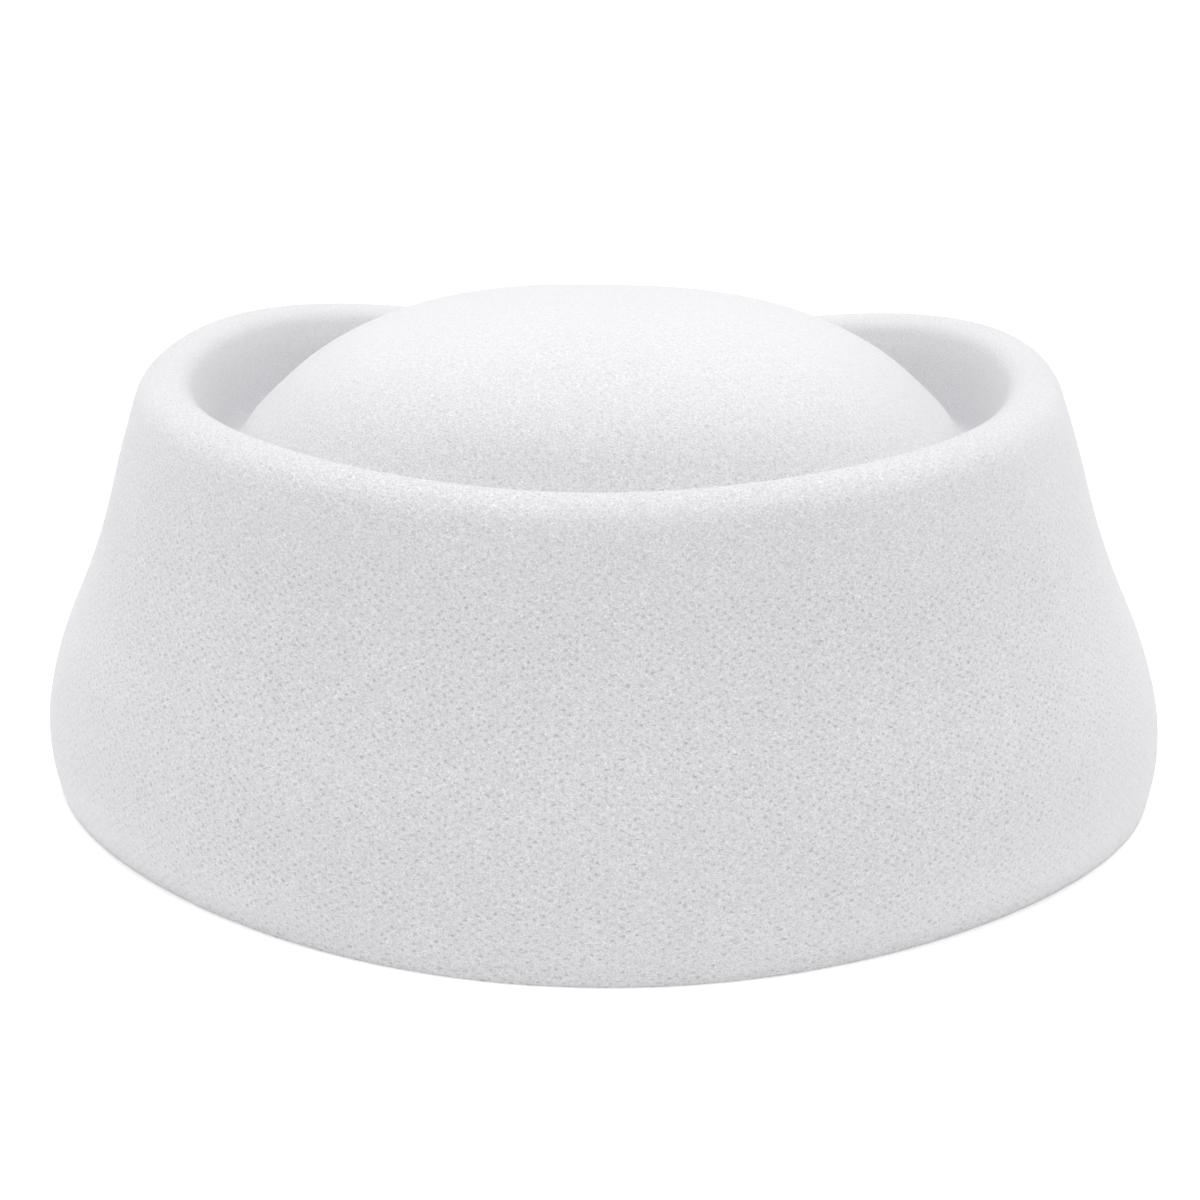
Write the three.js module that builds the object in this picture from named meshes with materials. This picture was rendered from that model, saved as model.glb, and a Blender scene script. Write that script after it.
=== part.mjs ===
// Pillbox hat: one piece of blocked wool felt, open and hollow below.
// Millimetres, +Z up. The origin is the middle of the plane of the cut edge.
// X runs along the oval's length and Y across it. The near side is -Y, the far side +Y.
import * as THREE from "three";

// The felt
const FELT = 2.5;
const FELT_COLOUR = 0xf1f1f3;

// The oval of the cut edge
const EDGE_LENGTH = 203;
const EDGE_WIDTH = 166;

// The wall draws in from the cut edge to the rolled rim
const RIM_HEIGHT = 78.5;
const END_INSET = 21.2;
const SIDE_INSET = 13.2;
const WALL_LEAN = 17;

// The rolled rim, and how far its crest dips at the middle of each long side
const ROLL_HOLLOW_RADIUS = 2.8;
const ROLL_TURN = 142;
const NEAR_DIP = 5.4;
const FAR_DIP = 10.9;
const DIP_SPREAD = 40;

// The groove inside the rim, and the dome that rises from it
const GROOVE_WIDTH = 8;
const GROOVE_DEPTH = 18;
const DOME_HEIGHT = 88;

// How far each oval's four corners stand out past a plain ellipse, as a share of its size
const EDGE_FULLNESS = -0.035;
const RIM_FULLNESS = 0.055;
const DOME_FULLNESS = 0.03;

// Steps round the oval and along each stretch of the section
const STEPS_ROUND = 60;
const WALL_STEPS = 9;
const ROLL_STEPS = 7;
const GROOVE_STEPS = 7;
const DOME_STEPS = 13;

// The most that a fold in the section may stretch the felt's offset
const MOST_MITRE = 1.4;

// The wall's section, from the cut edge up: shares of its height and of its inset
const WALL_ROWS = [
  { height: 0.0, inset: 0.0 },
  { height: 0.12, inset: -0.07 },
  { height: 0.25, inset: 0.005 },
  { height: 0.4, inset: 0.185 },
  { height: 0.55, inset: 0.435 },
  { height: 0.7, inset: 0.645 },
  { height: 0.85, inset: 0.81 },
  { height: 1.0, inset: 1.0 },
];

// The groove's slope, from the end of the roll to its floor: shares of its width and of its depth
const GROOVE_ROWS = [
  { width: 0.0, depth: 0.0 },
  { width: 0.33, depth: 0.27 },
  { width: 0.6, depth: 0.61 },
  { width: 0.78, depth: 0.87 },
  { width: 0.9, depth: 0.98 },
  { width: 1.0, depth: 1.0 },
];

// The dome's section, from the groove in to the top: shares of its half size and of its rise
const DOME_ROWS = [
  { reach: 1.0, rise: 0.0 },
  { reach: 0.986, rise: 0.05 },
  { reach: 0.975, rise: 0.17 },
  { reach: 0.96, rise: 0.3 },
  { reach: 0.925, rise: 0.405 },
  { reach: 0.845, rise: 0.563 },
  { reach: 0.73, rise: 0.717 },
  { reach: 0.58, rise: 0.852 },
  { reach: 0.4, rise: 0.953 },
  { reach: 0.2, rise: 0.99 },
  { reach: 0.0, rise: 1.0 },
];

const radians = THREE.MathUtils.degToRad;

// Sizes that follow from the ones above
const ROLL_RADIUS = FELT + ROLL_HOLLOW_RADIUS;
const GROOVE_FLOOR = RIM_HEIGHT - GROOVE_DEPTH;
const WALL_TOP = RIM_HEIGHT - ROLL_RADIUS * (1 - Math.sin(radians(WALL_LEAN)));
const ROLL_INSET = ROLL_RADIUS * Math.cos(radians(WALL_LEAN));
const SLOPE_INSET = ROLL_INSET - ROLL_RADIUS * Math.cos(radians(ROLL_TURN));
const SLOPE_TOP = RIM_HEIGHT - ROLL_RADIUS * (1 - Math.sin(radians(ROLL_TURN)));

// A ring is one oval of the felt's outer face: how far it lies inside the cut edge at the
// ends and at the sides, its height, how much of the rim's dip it follows, and its fullness.

function wallRings() {
  const rows = WALL_ROWS.map((row) => new THREE.Vector2(row.inset, row.height));
  return new THREE.SplineCurve(rows).getPoints(WALL_STEPS).map((share) => ({
    endInset: END_INSET * share.x,
    sideInset: SIDE_INSET * share.x,
    height: WALL_TOP * share.y,
    follow: share.y,
    fullness: THREE.MathUtils.lerp(EDGE_FULLNESS, RIM_FULLNESS, share.y),
  }));
}

function rollRings() {
  const centre = RIM_HEIGHT - ROLL_RADIUS;
  const rings = [];
  for (let step = 1; step <= ROLL_STEPS; step += 1) {
    const turn = radians(THREE.MathUtils.lerp(WALL_LEAN, ROLL_TURN, step / ROLL_STEPS));
    const inset = ROLL_INSET - ROLL_RADIUS * Math.cos(turn);
    rings.push({
      endInset: END_INSET + inset,
      sideInset: SIDE_INSET + inset,
      height: centre + ROLL_RADIUS * Math.sin(turn),
      follow: 1,
      fullness: RIM_FULLNESS,
    });
  }
  return rings;
}

function grooveRings() {
  const rows = GROOVE_ROWS.map((row) => new THREE.Vector2(row.width, row.depth));
  const points = new THREE.SplineCurve(rows).getSpacedPoints(GROOVE_STEPS).slice(1);
  return points.map((share) => ({
    endInset: END_INSET + SLOPE_INSET + GROOVE_WIDTH * share.x,
    sideInset: SIDE_INSET + SLOPE_INSET + GROOVE_WIDTH * share.x,
    height: THREE.MathUtils.lerp(SLOPE_TOP, GROOVE_FLOOR, share.y),
    follow: 1,
    fullness: RIM_FULLNESS,
  }));
}

function domeRings() {
  const start = SLOPE_INSET + GROOVE_WIDTH;
  const halfLength = EDGE_LENGTH / 2 - END_INSET - start;
  const halfWidth = EDGE_WIDTH / 2 - SIDE_INSET - start;
  const rows = DOME_ROWS.map((row) => new THREE.Vector2(row.reach, row.rise));
  const points = new THREE.SplineCurve(rows).getPoints(DOME_STEPS).slice(1);
  return points.map((share) => ({
    endInset: EDGE_LENGTH / 2 - halfLength * share.x,
    sideInset: EDGE_WIDTH / 2 - halfWidth * share.x,
    height: THREE.MathUtils.lerp(GROOVE_FLOOR, DOME_HEIGHT, share.y),
    follow: 1 - share.y,
    fullness: THREE.MathUtils.lerp(DOME_FULLNESS, RIM_FULLNESS, share.x),
  }));
}

// How far the rim's crest drops at an angle round the oval, in degrees from +X
function rimDip(degrees) {
  const fromFar = (degrees - 90) / DIP_SPREAD;
  const fromNear = (degrees - 270) / DIP_SPREAD;
  return FAR_DIP * Math.exp(-fromFar * fromFar) + NEAR_DIP * Math.exp(-fromNear * fromNear);
}

// The point of a ring at one step round the oval
function ringPoint(ring, step) {
  const turn = (360 * step) / STEPS_ROUND;
  const swell = 1 + ring.fullness * Math.sin(2 * radians(turn)) ** 2;
  return new THREE.Vector3(
    (EDGE_LENGTH / 2 - ring.endInset) * swell * Math.cos(radians(turn)),
    (EDGE_WIDTH / 2 - ring.sideInset) * swell * Math.sin(radians(turn)),
    ring.height - ring.follow * rimDip(turn),
  );
}

// The outer face as a grid of points, a column for each step round the oval
function outerFace(rings) {
  const columns = [];
  for (let step = 0; step < STEPS_ROUND; step += 1) {
    columns.push(rings.map((ring) => ringPoint(ring, step)));
  }
  return columns;
}

// The way out of the felt at a point of the outer face, longer where the section folds so
// that the felt keeps its thickness
function outward(outer, step, row) {
  const last = outer[step].length - 1;
  if (row === last) return new THREE.Vector3(0, 0, 1);
  const next = outer[(step + 1) % STEPS_ROUND][row];
  const before = outer[(step + STEPS_ROUND - 1) % STEPS_ROUND][row];
  const above = outer[step][row + 1];
  const below = outer[step][row - 1];
  const point = outer[step][row];
  const around = new THREE.Vector3().subVectors(next, before).normalize();
  const climb = new THREE.Vector3().subVectors(above, point).normalize();
  const arrival = row === 0 ? climb : new THREE.Vector3().subVectors(point, below).normalize();
  const normal = around.clone().cross(climb.clone().add(arrival));
  if (row === 0) normal.z = 0; // the cut edge is square to what it rests on
  normal.normalize();
  const face = around.cross(climb).normalize();
  const mitre = row === 0 ? 1 : Math.min(1 / Math.abs(normal.dot(face)), MOST_MITRE);
  return normal.multiplyScalar(mitre);
}

// The inner face lies one felt thickness inside the outer face
function innerFace(outer) {
  return outer.map((column, step) =>
    column.map((point, row) =>
      point.clone().addScaledVector(outward(outer, step, row), -FELT),
    ),
  );
}

// A lathe gives the closed surface, inner face down and outer face up, and each of its
// vertices then moves to its place on the oval felt.
function feltGeometry() {
  const rings = [...wallRings(), ...rollRings(), ...grooveRings(), ...domeRings()];
  const outer = outerFace(rings);
  const inner = innerFace(outer);
  const section = outer.map((column, step) => [...inner[step].slice().reverse(), ...column]);
  const outline = section[0].map((point) => new THREE.Vector2(Math.abs(point.x), point.z));
  const geometry = new THREE.LatheGeometry(outline, STEPS_ROUND);
  const positions = geometry.getAttribute("position");
  for (let index = 0; index < positions.count; index += 1) {
    const step = Math.floor(index / outline.length) % STEPS_ROUND;
    const point = section[step][index % outline.length];
    positions.setXYZ(index, point.x, point.y, point.z);
  }
  geometry.computeVertexNormals();
  return geometry;
}

function feltShell() {
  const material = new THREE.MeshStandardMaterial({
    color: FELT_COLOUR,
    roughness: 1,
    metalness: 0,
  });
  const mesh = new THREE.Mesh(feltGeometry(), material);
  mesh.name = "felt_shell";
  return mesh;
}

const hat = new THREE.Group();
hat.name = "pillbox_hat";
hat.add(feltShell());

export default hat;
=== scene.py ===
"""Pillbox hat of blocked wool felt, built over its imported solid, with a studio to show it in."""

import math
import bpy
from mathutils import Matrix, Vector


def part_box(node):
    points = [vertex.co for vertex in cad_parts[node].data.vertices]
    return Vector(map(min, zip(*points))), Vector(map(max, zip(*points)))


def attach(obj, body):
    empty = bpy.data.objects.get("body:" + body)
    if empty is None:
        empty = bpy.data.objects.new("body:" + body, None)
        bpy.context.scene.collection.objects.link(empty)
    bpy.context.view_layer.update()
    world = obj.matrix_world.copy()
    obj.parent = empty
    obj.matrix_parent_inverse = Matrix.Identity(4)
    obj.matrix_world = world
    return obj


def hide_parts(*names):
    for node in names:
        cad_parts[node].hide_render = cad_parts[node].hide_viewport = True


bl_info = {
    "name": "Felt pillbox hat",
    "version": (1, 0, 0),
    "blender": (4, 5, 0),
    "location": "3D View > Sidebar > Hat",
    "description": "Builds an oval pillbox hat of blocked felt and a pale studio round it",
    "category": "Add Mesh",
}

import bmesh
import bpy
from bpy.props import FloatProperty, IntProperty, PointerProperty
from mathutils import Matrix, Vector
from mathutils.geometry import interpolate_bezier

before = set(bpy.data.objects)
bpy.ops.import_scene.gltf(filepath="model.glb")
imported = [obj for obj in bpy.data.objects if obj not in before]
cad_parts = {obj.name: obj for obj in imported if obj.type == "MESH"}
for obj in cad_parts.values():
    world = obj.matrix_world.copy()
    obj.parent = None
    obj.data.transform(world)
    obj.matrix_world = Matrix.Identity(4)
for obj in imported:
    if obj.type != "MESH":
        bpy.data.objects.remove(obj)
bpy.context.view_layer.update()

NODE = "felt_shell"
MM = 0.001

# The wall from the cut edge up: share of its height, share of its inset
WALL_ROWS = (
    (0.0, 0.0),
    (0.02, 0.0),
    (0.12, -0.07),
    (0.25, 0.005),
    (0.4, 0.185),
    (0.55, 0.435),
    (0.7, 0.645),
    (0.85, 0.81),
    (1.0, 1.0),
)

# The groove from the end of the roll down to its floor: share of its width, share of its depth
GROOVE_ROWS = (
    (0.0, 0.0),
    (0.33, 0.27),
    (0.6, 0.61),
    (0.78, 0.87),
    (0.9, 0.98),
    (1.0, 1.0),
)

# The dome from the groove in to the top: share of its half size, share of its rise
DOME_ROWS = (
    (1.0, 0.0),
    (0.99, 0.07),
    (0.968, 0.18),
    (0.9375, 0.28),
    (0.889, 0.385),
    (0.8125, 0.548),
    (0.7, 0.712),
    (0.558, 0.852),
    (0.384, 0.95),
    (0.2, 0.99),
    (0.0, 1.0),
)

# The oval's fullness at its four corners, for the cut edge, the rim and the dome
EDGE_FULLNESS = -0.035
RIM_FULLNESS = 0.055
DOME_FULLNESS = 0.03

# Angles round the oval of the middle of its far side and of its near side
FAR_SIDE = math.radians(90)
NEAR_SIDE = math.radians(270)

# Rings along each stretch of the section, and points between two rows of a smoothed table
WALL_STEPS = 14
ROLL_STEPS = 7
GROOVE_STEPS = 8
DOME_STEPS = 16
CURVE_STEPS = 24

# Points closer than this are merged
MERGE_GAP = 0.001 * MM

# How firmly the cut edge's two corners hold, and how many times the mesh is smoothed
CORNER_CREASE = 0.7
SMOOTHINGS = 2

# Half the spacing of the felt's pits, round the wall and up it
PIT_ACROSS = 1.0 * MM
PIT_UP = 0.84 * MM

# The wall's ring that the pits are spaced along, and the steps that measure it
PIT_RING = 11
ARC_STEPS = 720

# How far the pits leave their rows, how far out a pit reaches and how far its flat floor
# does, each as a share of their spacing, and the depth of the shallowest beside the deepest
PIT_DISORDER = 0.42
PIT_REACH = 0.34
PIT_FLOOR = 0.02
SHALLOWEST_PIT = 0.3

# The felt's texture is laid out in millimetres, drawn closer together up the hat
TEXTURE_SCALE = (1000.0, 1000.0, 1400.0)

# Two sizes of fibre: how many to the millimetre, where the pattern starts, share of the whole
FIBRE_ROWS = (
    (2.1, (0.0, 0.0, 0.0), 0.55),
    (3.6, (31.0, 17.0, 53.0), 0.45),
)

# Their noise's detail, how much they curl, and how far from the noise's middle a fibre ends
FIBRE_DETAIL = 1.0
FIBRE_CURL = 0.6
FIBRE_EDGE = 0.06

# The noises that warp the pits' rows, grain the felt and mottle it: scale, detail, distortion
WARP_NOISE = (0.7, 2.0, 0.0)
GRAIN_NOISE = (2.9, 1.5, 0.4)
MOTTLE_NOISE = (0.045, 2.0, 0.0)

# The texture is clear round the middle of the near wall and fades with the distance from it
# to a share of itself. The distances and the middle's own place are in metres, stretched by
# three factors so that it fades faster across and up the hat than along it.
CLEAR_STRETCH = (1.0, 1.2, 1.8)
CLEAR_MIDDLE = (0.0, -0.108, 0.072)
CLEAR_TO = 0.07
FADED_FROM = 0.14
FADED_SHARE = 0.4

# Heights between which the felt's pits are brushed shallower, and by what share
BRUSHED_FROM = 0.055
BRUSHED_TO = 0.072
BRUSHED_SHARE = 0.5

# How each pattern lightens the felt: the value that leaves it as it is, and the strength,
# and the tone between the felt's two colours that they all start from
FIBRE_TONE = (0.2, 0.6)
# The pits darken the felt as painted shade in their hollows
PIT_PAINTED_SHADE = (0.15, -0.4)
GRAIN_TONE = (0.5, 0.8)
MOTTLE_TONE = (0.5, 0.06)
MEAN_TONE = 0.5

# How far fibres and grain stand up beside a pit's depth, and that depth
FIBRE_HEIGHT = 0.4
GRAIN_HEIGHT = 1.6
PIT_DEPTH = 0.08 * MM

# The crown is painted a little paler inside an oval, a painted highlight standing in for the
# overhead light on the dome, given by one over its half sizes; the painted highlight begins to fade at a
# share of them
CROWN_LIGHT_SCALE = (15.3, 18.2, 0.0)
CROWN_PAINTED_LIGHT = 0.08
CROWN_LIGHT_FADE = 0.85

# The felt's dark colour, which is painted shade in its pits and the darker grain elsewhere, and its pale
# colour on its fibres
DEEP_COLOUR = (0.46, 0.457, 0.474, 1)
PALE_COLOUR = (0.97, 0.967, 0.985, 1)

# Its roughness there, reached at these two tones between the colours
DEEP_ROUGHNESS = 1.0
PALE_ROUGHNESS = 0.86
DEEP_TONE = 0.2
PALE_TONE = 0.8

# A dull shine with a soft nap over it
SHINE = 0.1
NAP = 0.12
NAP_ROUGHNESS = 0.5

# The studio's light: an even glow, and brighter glows overhead, behind and at the two sides,
# each as its strength and how narrow it is
EVEN_GLOW = 0.14
OVERHEAD_GLOW = (11.0, 20.0)
BEHIND_GLOW = (0.3, 4.0)
SIDE_GLOW = (0.86, 4.0)

# The floor: half its size in metres, its paleness and its own glow
FLOOR_HALF = 6
FLOOR_COLOUR = (0.95, 0.95, 0.95, 1)
FLOOR_GLOW = 0.28

# The colour of every glow
WHITE = (1, 1, 1, 1)


def mm(name, text, value):
    """A length property in metres whose default is given in millimetres."""
    return FloatProperty(
        name=name, description=text, default=value * MM, subtype="DISTANCE", unit="LENGTH",
    )


class HatShape(bpy.types.PropertyGroup):
    """The hat's own sizes."""

    edge_length: mm("Edge length", "Length of the cut edge's oval", 203.0)
    edge_width: mm("Edge width", "Width of the cut edge's oval", 166.0)
    rim_height: mm("Rim height", "Height of the rim's crest at the two ends", 78.5)
    end_inset: mm("End inset", "How far the wall draws in at the ends", 21.2)
    side_inset: mm("Side inset", "How far the wall draws in at the sides", 13.2)
    roll_radius: mm("Roll radius", "Outer radius of the rolled rim", 5.3)
    groove_width: mm("Groove width", "Width of the groove's slope inside the roll", 5.5)
    groove_depth: mm("Groove depth", "Depth of the groove below the crest", 18.0)
    near_dip: mm("Near dip", "Dip of the crest at the middle of the near side", 5.4)
    far_dip: mm("Far dip", "Dip of the crest at the middle of the far side", 10.9)
    felt: mm("Felt", "Thickness of the felt", 2.5)
    dip_spread: FloatProperty(
        name="Dip spread", description="How wide each dip is round the oval",
        default=math.radians(40), subtype="ANGLE", unit="ROTATION",
    )
    wall_lean: FloatProperty(
        name="Wall lean", description="Lean of the wall where it meets the rim",
        default=math.radians(17), subtype="ANGLE", unit="ROTATION",
    )
    roll_turn: FloatProperty(
        name="Roll turn", description="Where the roll ends and the groove's slope begins",
        default=math.radians(142), subtype="ANGLE", unit="ROTATION",
    )
    steps_round: IntProperty(name="Steps round", description="Steps round the oval", default=64, min=24)


class StudioSettings(bpy.types.PropertyGroup):
    """The camera and the light."""

    distance: FloatProperty(name="Distance", description="Camera to the hat", default=0.38, unit="LENGTH")
    azimuth: FloatProperty(
        name="Azimuth", description="Camera's turn round the hat",
        default=math.radians(4.07), unit="ROTATION",
    )
    elevation: FloatProperty(
        name="Elevation", description="Camera's height above the floor as an angle",
        default=math.radians(20.26), unit="ROTATION",
    )
    roll: FloatProperty(
        name="Roll", description="Camera's turn about its own axis",
        default=math.radians(0.12), unit="ROTATION",
    )
    lens: FloatProperty(name="Lens", description="Focal length in millimetres", default=62.1)
    shift: FloatProperty(name="Shift", description="Upright shift of the picture", default=-0.019)
    target_height: mm("Target height", "Height of the point that the camera looks at", 36.1)


def smooth_rows(rows, steps):
    """Evenly spread points along a smooth curve through a table's rows."""
    points = [Vector(row) for row in rows]
    ends = [2 * points[0] - points[1]] + points + [2 * points[-1] - points[-2]]
    curve = []
    for first, start, stop, last in zip(ends, ends[1:], ends[2:], ends[3:]):
        leaving = start + (stop - first) / 6
        arriving = stop - (last - start) / 6
        curve += interpolate_bezier(start, leaving, arriving, stop, CURVE_STEPS + 1)[:-1]
    curve.append(points[-1])
    travelled = [0.0]
    for before, after in zip(curve, curve[1:]):
        travelled.append(travelled[-1] + (after - before).length)
    picked = []
    place = 0
    for step in range(steps + 1):
        wanted = travelled[-1] * step / steps
        while place < len(curve) - 2 and travelled[place + 1] < wanted:
            place += 1
        part = (wanted - travelled[place]) / (travelled[place + 1] - travelled[place])
        picked.append(curve[place].lerp(curve[place + 1], min(part, 1.0)))
    return picked


def blend(start, stop, share):
    """A value part of the way from start to stop."""
    return start + (stop - start) * share


class Ring:
    """One oval of the felt's outer face, which follows a share of the rim's dips."""

    def __init__(self, half_length, half_width, height, follow, fullness, part):
        self.half_length = half_length
        self.half_width = half_width
        self.height = height
        self.follow = follow
        self.fullness = fullness
        self.part = part

    def point(self, turn, shape):
        """The ring's point at an angle round the oval."""
        swell = 1 + self.fullness * math.sin(2 * turn) ** 2
        return Vector((
            self.half_length * swell * math.cos(turn),
            self.half_width * swell * math.sin(turn),
            self.height - self.follow * rim_dip(turn, shape),
        ))


def rim_dip(turn, shape):
    """How far the rim's crest drops at an angle round the oval."""
    turn = turn % math.tau
    from_far = (turn - FAR_SIDE) / shape.dip_spread
    from_near = (turn - NEAR_SIDE) / shape.dip_spread
    return shape.far_dip * math.exp(-from_far ** 2) + shape.near_dip * math.exp(-from_near ** 2)


def felt_rings(shape):
    """The outer face's rings, from the cut edge over the rim and the groove to the dome's top."""
    dome_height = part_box(NODE)[1].z
    half_length = shape.edge_length / 2
    half_width = shape.edge_width / 2
    radius = shape.roll_radius
    lean = shape.wall_lean
    wall_top = shape.rim_height - radius * (1 - math.sin(lean))
    roll_inset = radius * math.cos(lean)
    groove_floor = shape.rim_height - shape.groove_depth
    rings = []

    def add_wall(end_inset, side_inset, height, follow=1, fullness=RIM_FULLNESS):
        length = half_length - end_inset
        width = half_width - side_inset
        rings.append(Ring(length, width, height, follow, fullness, "wall"))

    for height, inset in smooth_rows(WALL_ROWS, WALL_STEPS):
        fullness = blend(EDGE_FULLNESS, RIM_FULLNESS, height)
        end_inset = shape.end_inset * inset
        side_inset = shape.side_inset * inset
        add_wall(end_inset, side_inset, wall_top * height, height, fullness)
    for step in range(1, ROLL_STEPS + 1):
        turn = blend(lean, shape.roll_turn, step / ROLL_STEPS)
        inset = roll_inset - radius * math.cos(turn)
        height = shape.rim_height - radius * (1 - math.sin(turn))
        add_wall(shape.end_inset + inset, shape.side_inset + inset, height)
    roll_end = inset
    slope_top = height
    for width, depth in smooth_rows(GROOVE_ROWS, GROOVE_STEPS)[1:]:
        inset = roll_end + shape.groove_width * width
        height = blend(slope_top, groove_floor, depth)
        add_wall(shape.end_inset + inset, shape.side_inset + inset, height)
    base = rings[-1]
    for reach, rise in smooth_rows(DOME_ROWS, DOME_STEPS)[1:]:
        length = base.half_length * reach
        width = base.half_width * reach
        height = blend(groove_floor, dome_height, rise)
        fullness = blend(DOME_FULLNESS, RIM_FULLNESS, reach)
        rings.append(Ring(length, width, height, 1 - rise, fullness, "dome"))
    return rings


def felt_mesh(shape):
    """The felt's outer face: a spun section whose points move to their places on the oval."""
    rings = felt_rings(shape)
    bm = bmesh.new()
    row_layer = bm.verts.layers.int.new("row")
    section = []
    for row, ring in enumerate(rings):
        vert = bm.verts.new((max(ring.half_length, 0.0), 0, ring.height))
        vert[row_layer] = row
        section.append(vert)
    edges = [bm.edges.new(pair) for pair in zip(section, section[1:])]
    bmesh.ops.spin(
        bm, geom=section + edges, cent=(0, 0, 0), axis=(0, 0, 1), angle=math.tau,
        steps=shape.steps_round, use_merge=True, use_duplicate=False,
    )
    bmesh.ops.remove_doubles(bm, verts=bm.verts, dist=MERGE_GAP)
    turns = {}
    for vert in bm.verts:
        turns[vert] = math.atan2(vert.co.y, vert.co.x)
    for vert in bm.verts:
        vert.co = rings[vert[row_layer]].point(turns[vert], shape)
    bmesh.ops.recalc_face_normals(bm, faces=bm.faces)
    lay_felt(bm, rings, row_layer, turns, shape)
    mesh = bpy.data.meshes.new("felt_hat")
    bm.to_mesh(mesh)
    bm.free()
    mesh.shade_smooth()
    return mesh


def lay_felt(bm, rings, row_layer, turns, shape):
    """Felt coordinates in metres: round and up the wall, and flat across the dome."""
    middle = rings[PIT_RING]
    arc = [0.0]
    for step in range(ARC_STEPS):
        here = middle.point(math.tau * step / ARC_STEPS, shape)
        there = middle.point(math.tau * (step + 1) / ARC_STEPS, shape)
        arc.append(arc[-1] + (there - here).length)
    whole_pits = round(arc[-1] / (2 * PIT_ACROSS))
    fit = whole_pits * 2 * PIT_ACROSS / arc[-1]
    climb = [0.0]
    for below, above in zip(rings, rings[1:]):
        climb.append(climb[-1] + (above.point(0, shape) - below.point(0, shape)).length)

    def along(turn):
        place = turn / math.tau * ARC_STEPS
        whole = min(int(place), ARC_STEPS - 1)
        return blend(arc[whole], arc[whole + 1], place - whole) * fit

    uv_layer = bm.loops.layers.uv.new("felt")
    for face in bm.faces:
        over_dome = any(rings[loop.vert[row_layer]].part == "dome" for loop in face.loops)
        face_turns = [turns[loop.vert] % math.tau for loop in face.loops]
        wraps = max(face_turns) - min(face_turns) > math.pi
        for loop, turn in zip(face.loops, face_turns):
            if over_dome:
                loop[uv_layer].uv = loop.vert.co.xy
                continue
            length = along(turn)
            if wraps and turn < math.pi:
                length += arc[-1] * fit
            loop[uv_layer].uv = (length, climb[loop.vert[row_layer]])


class NodeMaker:
    """Adds nodes and links to one node tree."""

    def __init__(self, tree):
        self.tree = tree

    def add(self, kind, **settings):
        node = self.tree.nodes.new(kind)
        for name, value in settings.items():
            setattr(node, name, value)
        return node

    def link(self, start, stop):
        self.tree.links.new(start, stop)

    def math(self, operation, first, second=0.0):
        node = self.add("ShaderNodeMath", operation=operation)
        for socket, value in zip(node.inputs, (first, second)):
            if isinstance(value, (int, float)):
                socket.default_value = value
            else:
                self.link(value, socket)
        return node.outputs[0]

    def vector(self, operation, first, second):
        node = self.add("ShaderNodeVectorMath", operation=operation)
        for socket, value in zip(node.inputs, (first, second)):
            if isinstance(value, bpy.types.NodeSocket):
                self.link(value, socket)
            else:
                socket.default_value = value
        return node.outputs["Value" if operation == "DISTANCE" else "Vector"]

    def noise(self, place, scale, detail, distortion):
        node = self.add("ShaderNodeTexNoise")
        self.link(place, node.inputs["Vector"])
        node.inputs["Scale"].default_value = scale
        node.inputs["Detail"].default_value = detail
        node.inputs["Distortion"].default_value = distortion
        return node

    def split(self, vector):
        node = self.add("ShaderNodeSeparateXYZ")
        self.link(vector, node.inputs[0])
        return node.outputs

    def group(self, tree, **inputs):
        node = self.add("ShaderNodeGroup", node_tree=tree)
        for name, value in inputs.items():
            self.link(value, node.inputs[name])
        return node

    def map_range(self, value, low, high, to_low, to_high, smooth=True):
        node = self.add("ShaderNodeMapRange", interpolation_type="SMOOTHSTEP" if smooth else "LINEAR")
        self.link(value, node.inputs["Value"])
        for name, number in zip(("From Min", "From Max", "To Min", "To Max"), (low, high, to_low, to_high)):
            node.inputs[name].default_value = number
        return node.outputs["Result"]


def new_group(name, inputs, outputs):
    """An empty node group with number or vector sockets, and a maker for its nodes."""
    tree = bpy.data.node_groups.new(name, "ShaderNodeTree")
    for socket, kind in inputs:
        tree.interface.new_socket(socket, in_out="INPUT", socket_type=kind)
    for socket, kind in outputs:
        tree.interface.new_socket(socket, in_out="OUTPUT", socket_type=kind)
    make = NodeMaker(tree)
    return make, make.add("NodeGroupInput"), make.add("NodeGroupOutput")


def pits_group():
    """Small pits in staggered rows, each a little out of place and of its own depth, 0 to 1; the felt's
    colour is darkened in them as painted shade.
    """
    inputs = [("Place", "NodeSocketVector"), ("Felt", "NodeSocketVector")]
    outputs = [("Depth", "NodeSocketFloat")]
    make, given, result = new_group("felt_pits", inputs, outputs)
    warp = make.noise(given.outputs["Place"], *WARP_NOISE)
    shift = make.vector("SUBTRACT", warp.outputs["Color"], (0.5, 0.5, 0.5))
    felt = make.split(given.outputs["Felt"])
    across = make.math("DIVIDE", felt[0], 2 * PIT_ACROSS)
    up = make.math("DIVIDE", felt[1], 2 * PIT_UP)
    rows = make.add("ShaderNodeCombineXYZ")
    make.link(make.math("ADD", across, up), rows.inputs[0])
    make.link(make.math("SUBTRACT", across, up), rows.inputs[1])
    cells = make.add("ShaderNodeTexVoronoi", voronoi_dimensions="2D", feature="F1")
    make.link(make.vector("ADD", rows.outputs[0], shift), cells.inputs["Vector"])
    cells.inputs["Scale"].default_value = 1.0
    cells.inputs["Randomness"].default_value = PIT_DISORDER
    hollow = make.map_range(cells.outputs["Distance"], PIT_REACH, PIT_FLOOR, 0.0, 1.0)
    colour = make.add("ShaderNodeSeparateColor")
    make.link(cells.outputs["Color"], colour.inputs[0])
    depth = make.map_range(colour.outputs[0], 0.0, 1.0, SHALLOWEST_PIT, 1.0, smooth=False)
    make.link(make.math("MULTIPLY", hollow, depth), result.inputs["Depth"])
    return make.tree


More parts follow.
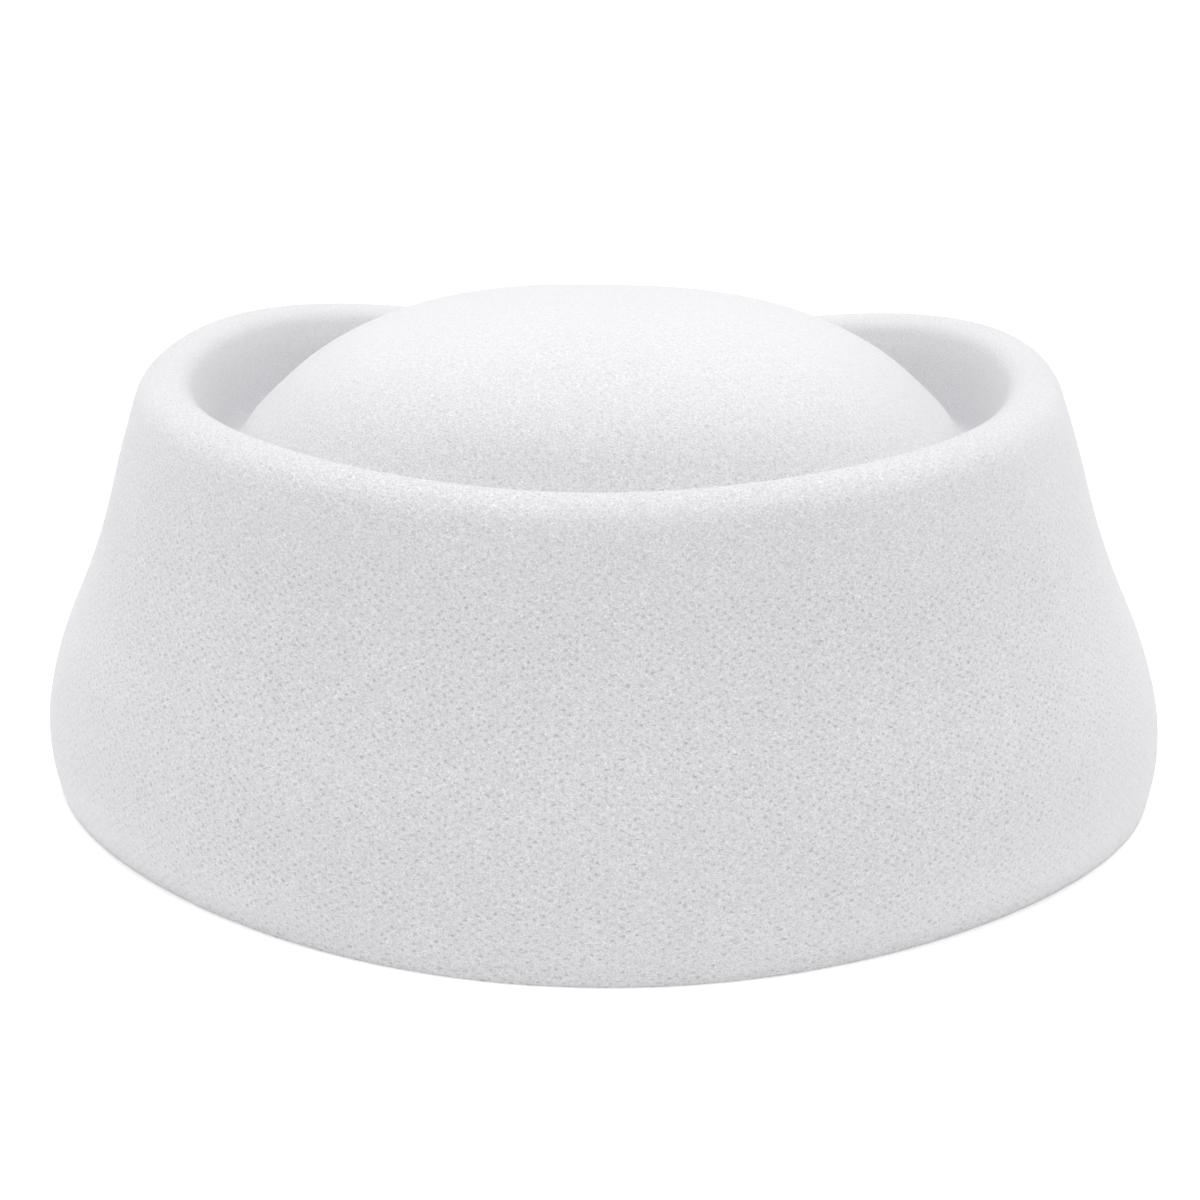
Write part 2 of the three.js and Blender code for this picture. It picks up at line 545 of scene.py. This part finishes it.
def fibres_group():
    """Fine light fibres that curl in every direction, 0 to 1."""
    inputs = [("Place", "NodeSocketVector")]
    outputs = [("Fibres", "NodeSocketFloat")]
    make, given, result = new_group("felt_fibres", inputs, outputs)
    total = 0.0
    for scale, offset, weight in FIBRE_ROWS:
        moved = make.vector("ADD", given.outputs["Place"], offset)
        noise = make.noise(moved, scale, FIBRE_DETAIL, FIBRE_CURL)
        away = make.math("ABSOLUTE", make.math("SUBTRACT", noise.outputs["Fac"], 0.5))
        line = make.map_range(away, FIBRE_EDGE, 0.0, 0.0, weight)
        total = make.math("ADD", line, total)
    make.link(total, result.inputs["Fibres"])
    return make.tree


def lighten(make, pattern, tone):
    """How much lighter or darker a pattern makes the felt."""
    neutral, strength = tone
    return make.math("MULTIPLY", make.math("SUBTRACT", pattern, neutral), strength)


def felt_material():
    """White wool felt: small pits with painted shade in them between fine curling fibres, a soft nap,
    slight mottling and a painted highlight over the top of the dome.
    """
    material = bpy.data.materials.new("felt_cloth")
    material.use_nodes = True
    tree = material.node_tree
    tree.nodes.clear()
    make = NodeMaker(tree)
    output = make.add("ShaderNodeOutputMaterial")
    shader = make.add("ShaderNodeBsdfPrincipled")
    make.link(shader.outputs["BSDF"], output.inputs["Surface"])
    shader.inputs["Specular IOR Level"].default_value = SHINE
    shader.inputs["Sheen Weight"].default_value = NAP
    shader.inputs["Sheen Roughness"].default_value = NAP_ROUGHNESS

    metres = make.add("ShaderNodeTexCoord").outputs["Object"]
    place = make.vector("MULTIPLY", metres, TEXTURE_SCALE)
    felt = make.add("ShaderNodeUVMap", uv_map="felt").outputs["UV"]
    pits = make.group(pits_group(), Place=place, Felt=felt).outputs["Depth"]
    fibres = make.group(fibres_group(), Place=place).outputs["Fibres"]
    grain = make.noise(place, *GRAIN_NOISE).outputs["Fac"]
    mottle = make.noise(place, *MOTTLE_NOISE).outputs["Fac"]

    away = make.vector("DISTANCE", make.vector("MULTIPLY", metres, CLEAR_STRETCH), CLEAR_MIDDLE)
    clear = make.map_range(away, CLEAR_TO, FADED_FROM, 1.0, FADED_SHARE)
    brushed = make.map_range(make.split(metres)[2], BRUSHED_FROM, BRUSHED_TO, 0.0, BRUSHED_SHARE)
    pits = make.math("MULTIPLY", pits, make.math("SUBTRACT", 1.0, brushed))
    # Painted highlight: the dome is made paler inside an oval, standing in for the overhead light on it
    from_top = make.vector("DISTANCE", make.vector("MULTIPLY", metres, CROWN_LIGHT_SCALE), (0.0, 0.0, 0.0))
    crown_painted_light = make.map_range(from_top, CROWN_LIGHT_FADE, 1.0, CROWN_PAINTED_LIGHT, 0.0)

    # The pits' darkening is painted shade in their hollows
    detail = make.math("ADD", lighten(make, fibres, FIBRE_TONE), lighten(make, pits, PIT_PAINTED_SHADE))
    detail = make.math("ADD", detail, lighten(make, grain, GRAIN_TONE))
    tone = make.math("MULTIPLY", detail, clear)
    tone = make.math("ADD", tone, lighten(make, mottle, MOTTLE_TONE))
    tone = make.math("ADD", tone, make.math("ADD", crown_painted_light, MEAN_TONE))
    colour = make.add("ShaderNodeMix", data_type="RGBA")
    make.link(tone, colour.inputs["Factor"])
    colour.inputs["A"].default_value = DEEP_COLOUR
    colour.inputs["B"].default_value = PALE_COLOUR
    make.link(colour.outputs["Result"], shader.inputs["Base Color"])
    roughness = make.map_range(tone, DEEP_TONE, PALE_TONE, DEEP_ROUGHNESS, PALE_ROUGHNESS)
    make.link(roughness, shader.inputs["Roughness"])

    raised_fibres = make.math("MULTIPLY", fibres, FIBRE_HEIGHT)
    raised_grain = make.math("MULTIPLY", grain, GRAIN_HEIGHT)
    height = make.math("SUBTRACT", make.math("ADD", raised_fibres, raised_grain), pits)
    bump = make.add("ShaderNodeBump")
    make.link(make.math("MULTIPLY", height, clear), bump.inputs["Height"])
    bump.inputs["Strength"].default_value = 1.0
    bump.inputs["Distance"].default_value = PIT_DEPTH
    make.link(bump.outputs["Normal"], shader.inputs["Normal"])
    return material


class HAT_OT_felt(bpy.types.Operator):
    """Build the felt hat"""

    bl_idname = "hat.felt"
    bl_label = "Felt hat"
    bl_options = {"REGISTER", "UNDO"}

    def execute(self, context):
        shape = context.scene.hat_shape
        hat = bpy.data.objects.new("felt_hat", felt_mesh(shape))
        context.collection.objects.link(hat)
        hat.data.materials.append(felt_material())
        walls = hat.modifiers.new("thickness", "SOLIDIFY")
        walls.thickness = shape.felt
        walls.offset = -1
        walls.use_even_offset = True
        walls.edge_crease_outer = CORNER_CREASE
        walls.edge_crease_inner = CORNER_CREASE
        smooth = hat.modifiers.new("smooth", "SUBSURF")
        smooth.levels = SMOOTHINGS
        smooth.render_levels = SMOOTHINGS
        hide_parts(NODE)
        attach(hat, "root")
        return {"FINISHED"}


class HAT_OT_studio(bpy.types.Operator):
    """Add the floor, the light and the camera"""

    bl_idname = "hat.studio"
    bl_label = "Studio"
    bl_options = {"REGISTER", "UNDO"}

    def execute(self, context):
        settings = context.scene.hat_studio
        self.add_floor(context)
        self.add_world(context)
        self.add_camera(context, settings)
        context.scene.view_settings.view_transform = "Standard"
        return {"FINISHED"}

    def add_floor(self, context):
        bm = bmesh.new()
        bmesh.ops.create_grid(bm, x_segments=1, y_segments=1, size=FLOOR_HALF)
        mesh = bpy.data.meshes.new("floor")
        bm.to_mesh(mesh)
        bm.free()
        floor = bpy.data.objects.new("floor", mesh)
        context.collection.objects.link(floor)
        material = bpy.data.materials.new("floor")
        material.use_nodes = True
        shader = material.node_tree.nodes["Principled BSDF"]
        shader.inputs["Base Color"].default_value = FLOOR_COLOUR
        shader.inputs["Roughness"].default_value = 1.0
        shader.inputs["Specular IOR Level"].default_value = 0.0
        shader.inputs["Emission Color"].default_value = WHITE
        shader.inputs["Emission Strength"].default_value = FLOOR_GLOW
        mesh.materials.append(material)

    def add_world(self, context):
        world = bpy.data.worlds.new("studio")
        world.use_nodes = True
        background = world.node_tree.nodes["Background"]
        background.inputs["Color"].default_value = WHITE
        make = NodeMaker(world.node_tree)
        across, away, up = make.split(make.add("ShaderNodeTexCoord").outputs["Generated"])
        overhead = make.math("MAXIMUM", up, 0.0)
        behind = make.math("MAXIMUM", away, 0.0)
        sides = make.math("ABSOLUTE", across)
        total = EVEN_GLOW
        glows = ((overhead, OVERHEAD_GLOW), (behind, BEHIND_GLOW), (sides, SIDE_GLOW))
        for direction, (strength, narrowness) in glows:
            glow = make.math("POWER", direction, narrowness)
            total = make.math("ADD", make.math("MULTIPLY", glow, strength), total)
        make.link(total, background.inputs["Strength"])
        context.scene.world = world

    def add_camera(self, context, settings):
        data = bpy.data.cameras.new("camera")
        data.lens = settings.lens
        data.shift_y = settings.shift
        camera = bpy.data.objects.new("camera", data)
        target = Vector((0, 0, settings.target_height))
        back = Vector((
            math.sin(settings.azimuth) * math.cos(settings.elevation),
            -math.cos(settings.azimuth) * math.cos(settings.elevation),
            math.sin(settings.elevation),
        ))
        turn = (-back).to_track_quat("-Z", "Y").to_matrix() @ Matrix.Rotation(settings.roll, 3, "Z")
        camera.location = target + back * settings.distance
        camera.rotation_euler = turn.to_euler()
        context.collection.objects.link(camera)
        context.scene.camera = camera


class HAT_PT_panel(bpy.types.Panel):
    """The hat's tools"""

    bl_label = "Felt hat"
    bl_space_type = "VIEW_3D"
    bl_region_type = "UI"
    bl_category = "Hat"

    def draw(self, context):
        layout = self.layout
        shape = context.scene.hat_shape
        layout.prop(shape, "rim_height")
        layout.prop(shape, "roll_radius")
        layout.prop(shape, "felt")
        layout.operator("hat.felt")
        layout.operator("hat.studio")


CLASSES = (HatShape, StudioSettings, HAT_OT_felt, HAT_OT_studio, HAT_PT_panel)


def register():
    for item in CLASSES:
        bpy.utils.register_class(item)
    bpy.types.Scene.hat_shape = PointerProperty(type=HatShape)
    bpy.types.Scene.hat_studio = PointerProperty(type=StudioSettings)


def unregister():
    del bpy.types.Scene.hat_studio
    del bpy.types.Scene.hat_shape
    for item in reversed(CLASSES):
        bpy.utils.unregister_class(item)


def main():
    register()
    bpy.ops.hat.felt()
    bpy.ops.hat.studio()


if __name__ == "__main__":
    main()
